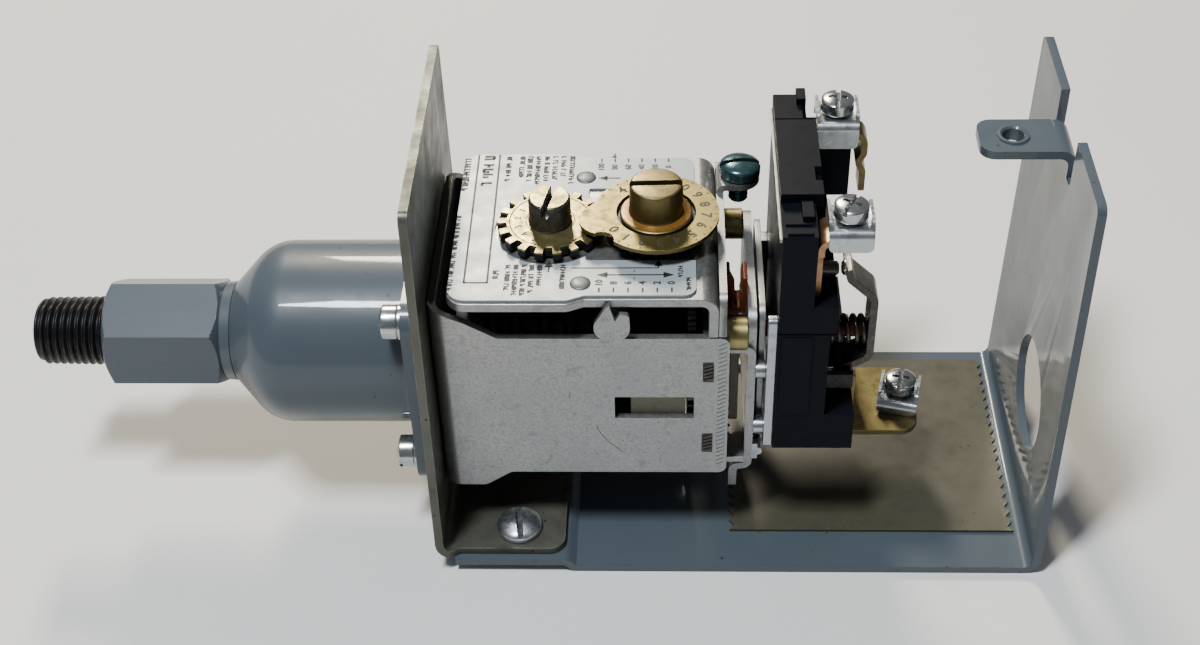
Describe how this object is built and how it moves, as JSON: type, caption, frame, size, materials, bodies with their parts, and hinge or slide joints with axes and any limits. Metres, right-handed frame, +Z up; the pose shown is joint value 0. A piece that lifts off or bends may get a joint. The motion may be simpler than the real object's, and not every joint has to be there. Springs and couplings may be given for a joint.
{
  "type": "pressure switch",
  "caption": "Bellows pressure switch with its cover off: male pipe inlet, bellows housing, range and differential dials, snap contact block and a conduit end plate.",
  "frame": {"origin": "on the supporting surface, under the middle of the whole switch", "axes": "+X from the pipe inlet towards the conduit end plate, +Z up out of the open front of the case, +Y across it"},
  "size_m": [0.1908, 0.0608, 0.0835],
  "materials": {
    "painted_case": "semi-gloss blue-grey enamel with grime",
    "fibre_liner": "olive-brown vulcanised fibre, matte",
    "olive_zinc": "olive-tinted zinc plate, worn",
    "zinc": "bright zinc plate, speckled",
    "black_steel": "black oxide, oily",
    "spring_steel": "dark spring steel",
    "brass": "tarnished brass, satin",
    "scale_plate": "satin white aluminium with black scale lines",
    "rivet_steel": "dull zinc",
    "brown_phenolic": "brown insulating phenolic",
    "black_phenolic": "black moulded phenolic, semi-matte",
    "silver_contact": "silver alloy, satin",
    "green_ground": "green chromate screw, glossy"
  },
  "bodies": {
    "case": {"base_plate": "painted_case", "conduit_end_plate": "painted_case", "insulating_liner": "fibre_liner", "end_bracket": "olive_zinc", "bracket_screws": "zinc", "bellows_housing": "painted_case", "housing_screws": "zinc", "inlet_fitting": "painted_case", "pipe_nipple": "black_steel", "bellows_ring": "brass", "bellows": "brass", "mechanism_frame": "zinc", "frame_end_plate": "zinc", "top_plate": "zinc", "ground_strap": "zinc", "rack_guides": "zinc", "scale_plate": "scale_plate", "scale_rivets": "rivet_steel", "dial_bushings": "brass", "range_spring": "spring_steel", "differential_spring": "spring_steel", "ground_screw": "green_ground", "frame_spacers": "olive_zinc", "contact_bracket": "zinc", "block_mounting_plate": "zinc", "lever_pin": "zinc", "contact_block": "black_phenolic", "block_screws": "zinc", "terminal_strip_back": "brass", "terminal_strip_front": "brass", "terminal_strip_lower": "brass", "terminal_saddles": "zinc", "terminal_screws": "zinc", "fixed_contacts": "silver_contact", "contact_pivot": "zinc", "contact_spring": "spring_steel"},
    "pressure_rod": {"bellows_cap": "brass", "push_rod": "zinc", "rod_button": "brown_phenolic", "spring_seat": "spring_steel"},
    "operating_lever": {"operating_lever": "zinc"},
    "transfer_pin": {"transfer_pin": "brown_phenolic"},
    "contact_arm": {"contact_arm": "spring_steel", "moving_contact": "silver_contact"},
    "range_screw": {"range_post": "brass", "range_gear": "black_steel", "range_dial": "brass", "range_pinion": "black_steel"},
    "range_wheel": {"range_sleeve": "black_steel", "range_wheel": "black_steel"},
    "range_nut": {"range_nut": "spring_steel", "range_pointer": "zinc"},
    "differential_screw": {"differential_post": "spring_steel", "differential_star": "brass", "differential_pinion": "black_steel"},
    "differential_slide": {"differential_rack": "zinc", "differential_pointer": "zinc"}
  },
  "joints": [
    {"name": "rod_slide", "type": "slide", "parent": "case", "child": "pressure_rod", "axis": [1, 0, 0], "range_m": [0, 0.0005], "stiffness_N_per_m": 6000, "deforming": ["bellows"]},
    {"name": "lever_swing", "type": "hinge", "parent": "case", "child": "operating_lever", "pos_m": [0.04205, 0, 0.0195], "axis": [0, 1, 0], "range_deg": [0, 1.92]},
    {"name": "transfer_pin_slide", "type": "slide", "parent": "case", "child": "transfer_pin", "axis": [1, 0, 0], "range_m": [0, 0.000848]},
    {"name": "contact_snap", "type": "hinge", "parent": "case", "child": "contact_arm", "pos_m": [0.05755, -0.011, 0.0364], "axis": [0, 1, 0], "range_deg": [0, 5.74], "deforming": ["contact_spring"]},
    {"name": "range_nut_slide", "type": "slide", "parent": "case", "child": "range_nut", "axis": [1, 0, 0], "range_m": [-0.002, 0.009], "deforming": ["range_spring"]},
    {"name": "range_wheel_turn", "type": "hinge", "parent": "case", "child": "range_wheel", "pos_m": [0.02955, 0, 0.0346], "axis": [1, 0, 0], "range_deg": [-144.4, 648.4]},
    {"name": "range_screw_turn", "type": "hinge", "parent": "case", "child": "range_screw", "pos_m": [0.02315, -0.0016, 0.06], "axis": [0, 0, 1], "range_deg": [-617.54, 2777.54]},
    {"name": "differential_slide_move", "type": "slide", "parent": "case", "child": "differential_slide", "axis": [1, 0, 0], "range_m": [-0.002, 0.0081], "deforming": ["differential_spring"]},
    {"name": "differential_screw_turn", "type": "hinge", "parent": "case", "child": "differential_screw", "pos_m": [0.00405, -0.0016, 0.06], "axis": [0, 0, 1], "range_deg": [-119.4, 29.78]}
  ],
  "couplings": [
    {"joint": "lever_swing", "follows": "rod_slide", "rad_per_m": 66.225},
    {"joint": "transfer_pin_slide", "follows": "rod_slide", "ratio": 1.6755},
    {"joint": "contact_snap", "follows": "rod_slide", "rad_per_m": 199.46},
    {"joint": "range_wheel_turn", "follows": "range_nut_slide", "rad_per_m": 1256.6},
    {"joint": "range_screw_turn", "follows": "range_nut_slide", "rad_per_m": 5385.6},
    {"joint": "differential_screw_turn", "follows": "differential_slide_move", "rad_per_m": -256.41}
  ]
}
